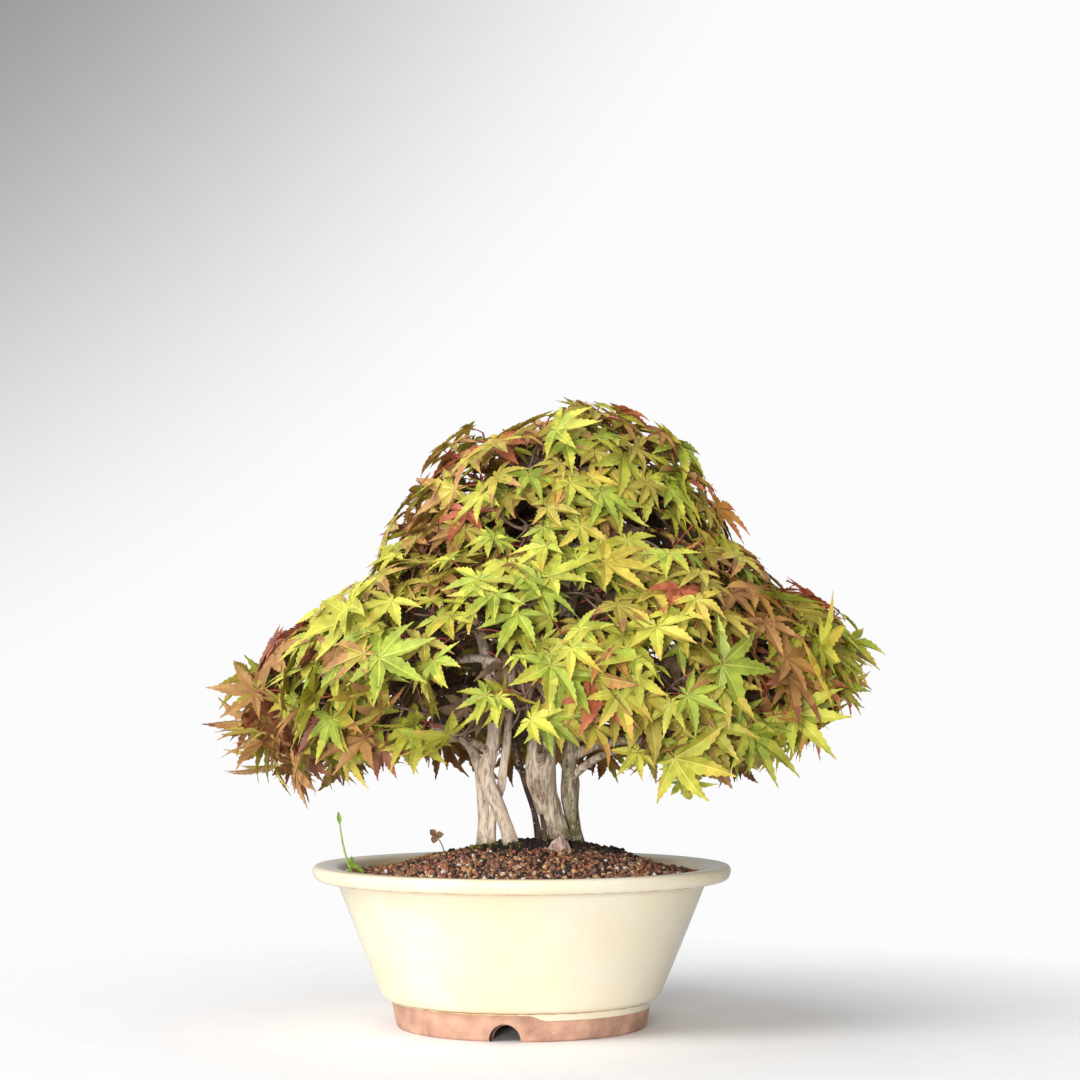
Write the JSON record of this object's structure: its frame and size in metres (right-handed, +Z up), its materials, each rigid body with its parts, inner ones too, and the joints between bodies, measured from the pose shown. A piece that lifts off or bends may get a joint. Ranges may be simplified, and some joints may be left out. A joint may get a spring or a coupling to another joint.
{
  "type": "potted japanese maple bonsai",
  "caption": "Clump-style Japanese maple bonsai in early autumn leaf, growing from slim crossing stems in a shallow round cream-glazed pot with a bare clay foot.",
  "frame": {"origin": "centre of the bounding box of the whole plant, on the plane that the foot of the pot stands on", "axes": "+Z up, -Y towards the front of the tree, +X to the right along the widest spread of the crown"},
  "size_m": [0.323, 0.2656, 0.3018],
  "materials": {
    "glazed_pot": "cream glaze with fine pinholes over a pinkish tan clay foot left bare",
    "soil": "damp baked clay grains, brown to black, with a few pale ones",
    "bark": "smooth pale grey bark with fine pinkish streaks",
    "leaves_lime": "thin matt leaf, yellow green",
    "leaves_gold": "thin matt leaf, yellow",
    "leaves_olive": "thin matt leaf, olive green",
    "leaves_orange": "thin matt leaf, orange red",
    "leaves_russet": "thin matt leaf, red brown"
  },
  "bodies": {
    "root": {"stem_centre": "bark", "stem_right": "bark", "stem_front_left": "bark", "stem_rear_left": "bark", "stem_slim": "bark", "stem_shaded": "bark", "surface_root": "bark", "bough_upper_front": "bark", "bough_upper_back_right": "bark", "bough_lower_front": "bark", "bough_lower_right_front": "bark", "bough_lower_right": "bark", "bough_lower_right_back": "bark", "bough_lower_left_front": "bark", "pot": "glazed_pot", "soil": "soil", "foliage_apex": "leaves_olive", "foliage_upper_front": "leaves_lime", "foliage_upper_right": "leaves_orange", "foliage_upper_back_right": "leaves_gold", "foliage_upper_back_left": "leaves_olive", "foliage_upper_left": "leaves_lime", "foliage_lower_front": "leaves_lime", "foliage_lower_right_front": "leaves_lime", "foliage_lower_right": "leaves_orange", "foliage_lower_right_back": "leaves_gold", "foliage_lower_left_back": "leaves_olive", "foliage_lower_left": "leaves_russet", "foliage_lower_left_front": "leaves_lime"}
  },
  "joints": []
}
